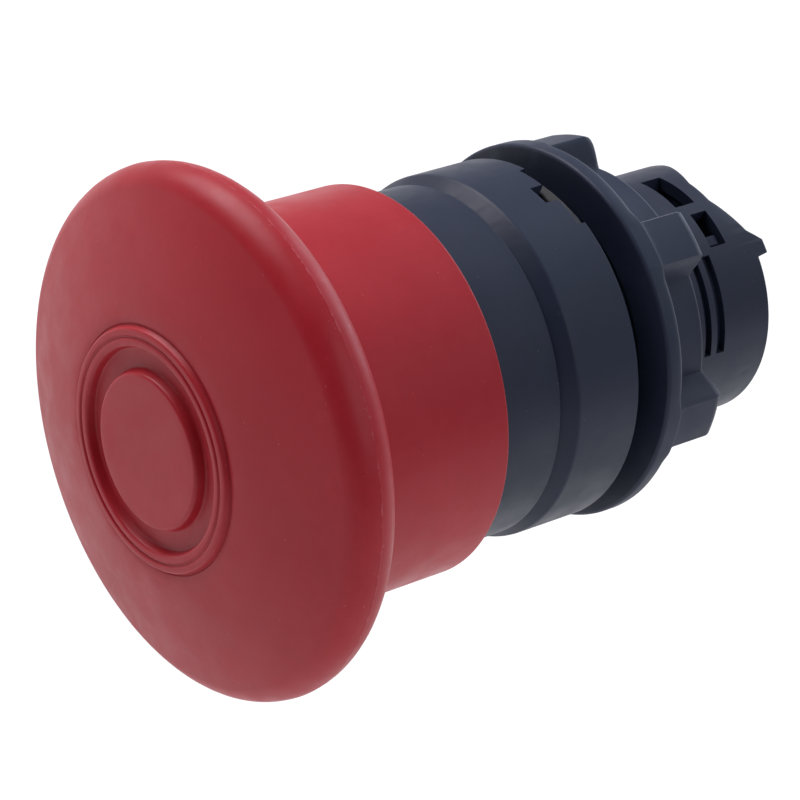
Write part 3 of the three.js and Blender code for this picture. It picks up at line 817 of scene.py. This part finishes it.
DUST_RED, DUST_GREY = (0.48, 0.08, 0.09), (0.06, 0.07, 0.09)
# The pale line's colour is partly the parting line's own tone and partly a painted highlight along the rim.
LINE_AND_HIGHLIGHT_PALE, NICK_PALE = (0.46, 0.09, 0.11), (0.45, 0.06, 0.07)
GLOSS = 0.27     # specular level of the satin plastics


def as_colour(value):
    return value if isinstance(value, bpy.types.NodeSocket) else (*value, 1.0)


class Recipe:
    """A material's nodes. Patterns are laid out in the object's own coordinates; sizes are in mm."""

    def __init__(self, name, **constant):
        self.material = bpy.data.materials.new(name)
        self.material.use_nodes = True
        self.tree = self.material.node_tree
        self.shader = self.tree.nodes["Principled BSDF"]
        self.place = self.tree.nodes.new("ShaderNodeTexCoord").outputs["Object"]
        for socket, value in constant.items():
            self.shader.inputs[socket.replace("_", " ")].default_value = value

    def put(self, socket, source):
        self.tree.links.new(source, self.shader.inputs[socket])

    def node(self, kind, values, **settings):
        """A node; each value goes to the input of that name or number, as a link where it is a socket."""
        made = self.tree.nodes.new(kind)
        for name, value in settings.items():
            setattr(made, name, value)
        for socket, value in values.items():
            if isinstance(value, bpy.types.NodeSocket):
                self.tree.links.new(value, made.inputs[socket])
            else:
                made.inputs[socket].default_value = value
        return made

    def noise(self, size, detail=2.0, roughness=0.5, stretch=None):
        """Noise whose features are about a size, drawn out along an axis by a stretch below 1."""
        place = self.place
        if stretch:
            values = {0: place, 1: stretch}
            place = self.node("ShaderNodeVectorMath", values, operation="MULTIPLY").outputs[0]
        values = {"Vector": place, "Scale": 1 / (size * MM), "Detail": detail, "Roughness": roughness}
        return self.node("ShaderNodeTexNoise", values).outputs["Fac"]

    def band(self, value, low, high, to_low=0.0, to_high=1.0):
        """A value brought smoothly from one range to another, and held at its ends."""
        values = {"Value": value, "From Min": low, "From Max": high, "To Min": to_low, "To Max": to_high}
        return self.node("ShaderNodeMapRange", values, interpolation_type="SMOOTHSTEP").outputs["Result"]

    def math(self, operation, one, other=0.0):
        return self.node("ShaderNodeMath", {0: one, 1: other}, operation=operation).outputs[0]

    def mix(self, share, one, other):
        """A colour between two."""
        values = {0: share, 6: as_colour(one), 7: as_colour(other)}
        return self.node("ShaderNodeMix", values, data_type="RGBA").outputs[2]

    def bump(self, height, depth, under=None):
        """Relief of a depth, over another relief."""
        values = {"Height": height, "Distance": depth * MM, "Strength": 1.0}
        if under:
            values["Normal"] = under
        return self.node("ShaderNodeBump", values).outputs["Normal"]

    def station(self):
        """The y coordinate in mm."""
        y = self.node("ShaderNodeSeparateXYZ", {0: self.place}).outputs["Y"]
        return self.math("DIVIDE", y, MM)


def moulded(name, colour, shade, roughness, grain, relief, dust, marks=None, **constant):
    """Satin moulded plastic: fine spark texture, slow changes of tone, handling marks and a little dust."""
    recipe = Recipe(name, **constant)
    slow = recipe.band(recipe.noise(size=11.0), 0.35, 0.65, 0.0, 0.5)
    mottle = recipe.band(recipe.noise(size=0.8, detail=3, roughness=0.6), *MOST, 0.0, 0.4)
    base = recipe.mix(mottle, recipe.mix(slow, colour, shade), shade)
    # For the red cap this adds the parting line with a painted highlight along it.
    if marks:
        base = marks(recipe, base)
    specks = recipe.band(recipe.noise(size=0.22, detail=0), *FEW)
    recipe.put("Base Color", recipe.mix(specks, base, dust))
    uneven = recipe.band(recipe.noise(size=2.5, detail=3), *MOST, roughness - 0.04, roughness + 0.05)
    rubbed = recipe.band(recipe.noise(size=0.5, stretch=(1.0, 0.15, 1.0)), 0.62, 0.78, 0.0, 0.08)
    recipe.put("Roughness", recipe.math("SUBTRACT", uneven, rubbed))
    waves = recipe.bump(recipe.noise(size=5.0, detail=1), 0.012)
    spark = recipe.noise(size=grain, detail=3, roughness=0.65)
    recipe.put("Normal", recipe.bump(spark, relief, waves))
    return recipe.material


def parting_line_and_highlight(recipe, base):
    """A broken pale line round the cap's widest part: the line where the mould's halves met with a painted
    highlight along it, and nicks by it.
    """
    off = recipe.math("ABSOLUTE", recipe.math("SUBTRACT", recipe.station(), CAP["rim_y"]))
    # Mask of the pale line: the parting line with a painted highlight along it.
    line = recipe.band(off, 0.02, 0.07, 1.0, 0.0)
    broken = recipe.band(recipe.noise(size=0.9, detail=3, roughness=0.7), 0.46, 0.66)
    lined_and_highlighted = recipe.mix(recipe.math("MULTIPLY", line, broken), base, LINE_AND_HIGHLIGHT_PALE)
    beside = recipe.band(off, 0.1, 0.9, 1.0, 0.0)
    nicks = recipe.band(recipe.noise(size=0.45, roughness=0.6), 0.68, 0.74)
    return recipe.mix(recipe.math("MULTIPLY", beside, nicks), lined_and_highlighted, NICK_PALE)


def red_plastic():
    return moulded("red_plastic", (0.41, 0.017, 0.028), (0.35, 0.012, 0.021), 0.43, grain=0.22,
                   relief=0.006, dust=DUST_RED, marks=parting_line_and_highlight, Specular_IOR_Level=GLOSS)


def black_plastic(name, colour, shade, roughness):
    return moulded(name, colour, shade, roughness, grain=0.18, relief=0.004, dust=DUST_GREY,
                   Specular_IOR_Level=GLOSS)


def black_rubber():
    recipe = Recipe("black_rubber", Sheen_Weight=0.15, Sheen_Roughness=0.5)
    bloom = recipe.band(recipe.noise(size=1.6, detail=4, roughness=0.6), 0.35, 0.75)
    recipe.put("Base Color", recipe.mix(bloom, (0.011, 0.011, 0.012), (0.022, 0.022, 0.024)))
    recipe.put("Roughness", recipe.band(recipe.noise(size=0.9), *MOST, 0.66, 0.82))
    recipe.put("Normal", recipe.bump(recipe.noise(size=0.12, detail=3, roughness=0.7), 0.005))
    return recipe.material


def acetal(name, colour, shade):
    recipe = Recipe(name, Subsurface_Weight=0.12, Subsurface_Scale=0.002, IOR=1.48)
    cloud = recipe.band(recipe.noise(size=2.4, detail=3), *MOST)
    recipe.put("Base Color", recipe.mix(cloud, colour, shade))
    recipe.put("Roughness", recipe.band(recipe.noise(size=0.7), *MOST, 0.34, 0.46))
    waves = recipe.bump(recipe.noise(size=3.0, detail=1), 0.01)
    recipe.put("Normal", recipe.bump(recipe.noise(size=0.25), 0.003, waves))
    return recipe.material


def steel(name, colour, shade, roughness, drawn):
    """Bright metal with fine lines drawn along an axis."""
    recipe = Recipe(name, Metallic=1.0)
    lines = recipe.noise(size=0.09, roughness=0.6, stretch=drawn)
    stain = recipe.band(recipe.noise(size=1.4, detail=3, roughness=0.6), 0.35, 0.7)
    recipe.put("Base Color", recipe.mix(stain, colour, shade))
    recipe.put("Roughness", recipe.band(lines, *MOST, roughness - 0.06, roughness + 0.08))
    recipe.put("Normal", recipe.bump(lines, 0.0015))
    return recipe.material


def pale_floor():
    """A lit table: it glows, so the object's shadow stays faint on it."""
    recipe = Recipe("pale_floor", Roughness=0.85, Specular_IOR_Level=0.2, Emission_Strength=0.62)
    cloud = recipe.band(recipe.noise(size=60.0, detail=3), *MOST)
    recipe.put("Base Color", recipe.mix(cloud, (0.40, 0.40, 0.405), (0.42, 0.42, 0.42)))
    return recipe.material


MATERIALS = {
    "red_plastic": red_plastic(),
    "black_plastic": black_plastic("black_plastic", (0.0185, 0.0250, 0.050), (0.0145, 0.0195, 0.039), 0.46),
    "bezel_plastic": black_plastic("bezel_plastic", (0.0180, 0.0250, 0.051), (0.0140, 0.0195, 0.040), 0.48),
    "nut_plastic": black_plastic("nut_plastic", (0.0205, 0.0285, 0.056), (0.0160, 0.0220, 0.044), 0.50),
    "black_rubber": black_rubber(),
    "natural_acetal": acetal("natural_acetal", (0.74, 0.72, 0.66), (0.66, 0.64, 0.58)),
    "grey_acetal": acetal("grey_acetal", (0.17, 0.18, 0.19), (0.13, 0.14, 0.15)),
    "zinc_steel": steel("zinc_steel", (0.56, 0.57, 0.60), (0.46, 0.47, 0.48), 0.30, (1.0, 0.1, 1.0)),
    "spring_steel": steel("spring_steel", (0.42, 0.43, 0.45), (0.33, 0.34, 0.36), 0.26, (0.15, 1.0, 0.15)),
}

# ---------------------------------------------------------------- the pieces in their places

BODY_OF = {node: body for body, nodes in frame["record"]["behaviour"]["bodies"].items() for node in nodes}
TRAVEL = {joint["name"]: joint["range_m"][1] / MM for joint in frame["joints"] if joint.get("range_m")}
HANDS = (("right", 1), ("left", -1))


def stand(piece, node, slot):
    """Puts a piece in a CAD node's place: on its body, with its slot's material."""
    piece.data.materials.clear()
    piece.data.materials.append(MATERIALS[slot])
    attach(piece, BODY_OF[node])
    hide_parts(node)
    return piece


stand(mushroom_cap(), "mushroom_cap", "red_plastic")
stand(plunger(), "plunger", "natural_acetal")
stand(cap_screw(), "cap_screw", "zinc_steel")
stand(split_washer(), "screw_washer", "zinc_steel")
stand(snap_ring(), "stop_ring", "spring_steel")
stand(plunger_collar(), "plunger_collar", "natural_acetal")

stand(operator_body(), "operator_body", "black_plastic")
stand(locating_key(), "operator_body", "black_plastic")
stand(bezel_ring(), "bezel_ring", "bezel_plastic")
stand(panel_gasket(), "panel_gasket", "black_rubber")
stand(skirt_seal(), "skirt_seal", "black_rubber")
stand(plunger_oring(), "plunger_oring", "black_rubber")
stand(spring_seat(), "spring_seat", "zinc_steel")
stand(latch_carrier(), "latch_carrier", "natural_acetal")
stand(rear_bush(), "rear_bush", "black_plastic")
for half_turn in (0, 180):
    stand(snap_tongue(half_turn), "rear_bush", "black_plastic")

stand(contact_pusher(), "contact_pusher", "grey_acetal")
stand(fixing_nut(), "fixing_nut", "nut_plastic")
for hand, side in HANDS:
    stand(latch_pin(hand, side), f"latch_pin_{hand}", "zinc_steel")


def shorten(piece, change):
    """Gives a spring a mesh of its own."""
    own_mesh(piece)


shorten(stand(return_spring(), "return_spring", "spring_steel"),
        TRAVEL["cap_slide"])
shorten(stand(trigger_spring(), "trigger_spring", "spring_steel"),
        TRAVEL["cap_slide"] - TRAVEL["pusher_slide"])
for hand, side in HANDS:
    stand(latch_spring(hand, side), f"latch_spring_{hand}", "spring_steel")

# ---------------------------------------------------------------- floor, light and camera

COOL = (0.84, 0.90, 1.0)
LAMP_DISTANCE, LAMP_SIZE, FLOOR_HALF = 0.9, 0.7, 3.0    # metres


def floor(drop):
    """A wide pale floor, below the object."""
    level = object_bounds()[0].z - drop * MM
    half = FLOOR_HALF
    bm = bmesh.new()
    corners = [(-half, -half), (half, -half), (half, half), (-half, half)]
    bm.faces.new([bm.verts.new((x, y, level)) for x, y in corners])
    obj = finished("floor", bm)
    obj.data.materials.append(pale_floor())
    obj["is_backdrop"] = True


def softbox(name, azimuth, elevation, power, colour):
    """An area light that faces the object. Azimuth 0 is in front of the cap, 90 on its right."""
    turn, tilt = math.radians(azimuth), math.radians(elevation)
    back = Vector((math.sin(turn) * math.cos(tilt), -math.cos(turn) * math.cos(tilt), math.sin(tilt)))
    light = bpy.data.lights.new(name, "AREA")
    light.shape = "DISK"
    light.size = LAMP_SIZE
    light.energy = power
    light.color = colour
    obj = bpy.data.objects.new(name, light)
    obj.location = back * LAMP_DISTANCE
    obj.rotation_mode = "QUATERNION"
    obj.rotation_quaternion = back.to_track_quat("Z", "Y")
    bpy.context.scene.collection.objects.link(obj)


def surroundings(bright, dim, from_azimuth, edge=0.75):
    """A room that is bright on one side and dimmer on the other, with a soft edge between them."""
    world = bpy.data.worlds.new("studio")
    world.use_nodes = True
    tree = world.node_tree
    place = tree.nodes.new("ShaderNodeTexCoord").outputs["Generated"]
    turn = math.radians(from_azimuth)
    facing = tree.nodes.new("ShaderNodeVectorMath")
    facing.operation = "DOT_PRODUCT"
    facing.inputs[1].default_value = (math.sin(turn), -math.cos(turn), 0)
    tree.links.new(place, facing.inputs[0])
    level = tree.nodes.new("ShaderNodeMapRange")
    level.interpolation_type = "SMOOTHSTEP"
    level.inputs["From Min"].default_value = -edge
    level.inputs["From Max"].default_value = edge
    level.inputs["To Min"].default_value = dim
    level.inputs["To Max"].default_value = bright
    tree.links.new(facing.outputs["Value"], level.inputs["Value"])
    tree.links.new(level.outputs["Result"], tree.nodes["Background"].inputs["Strength"])
    tree.nodes["Background"].inputs["Color"].default_value = as_colour(COOL)
    bpy.context.scene.world = world


# The photograph's view: angles in degrees, the camera's distance and the point it looks at in mm.
VIEW = dict(
    azimuth=43.23, elevation=36.70, roll=15.0, distance=259.27, aim=(8.43, -19.92, 6.44), lens=164.07,
)


def camera():
    """The camera, rolled a little about its own line of sight."""
    data = bpy.data.cameras.new("camera")
    data.sensor_width = 36
    data.lens = VIEW["lens"]
    data.clip_start = 0.01
    obj = bpy.data.objects.new("camera", data)
    turn = (
        Matrix.Rotation(math.radians(VIEW["azimuth"]), 4, "Z")
        @ Matrix.Rotation(math.radians(90 - VIEW["elevation"]), 4, "X")
    )
    aim = Vector(VIEW["aim"]) * MM
    place = Matrix.Translation(aim + turn @ Vector((0, 0, VIEW["distance"] * MM)))
    obj.matrix_world = place @ turn @ Matrix.Rotation(math.radians(VIEW["roll"]), 4, "Z")
    bpy.context.scene.collection.objects.link(obj)
    bpy.context.scene.camera = obj


floor(drop=25)
surroundings(bright=0.37, dim=0.02, from_azimuth=200)
softbox("left_key", azimuth=280, elevation=45, power=8.6, colour=(1.0, 0.96, 1.0))
softbox("right_fill", azimuth=100, elevation=45, power=2.0, colour=(0.95, 0.97, 1.0))
softbox("rear_rim", azimuth=190, elevation=20, power=3.2, colour=COOL)
bpy.context.scene.view_settings.view_transform = "Standard"
camera()
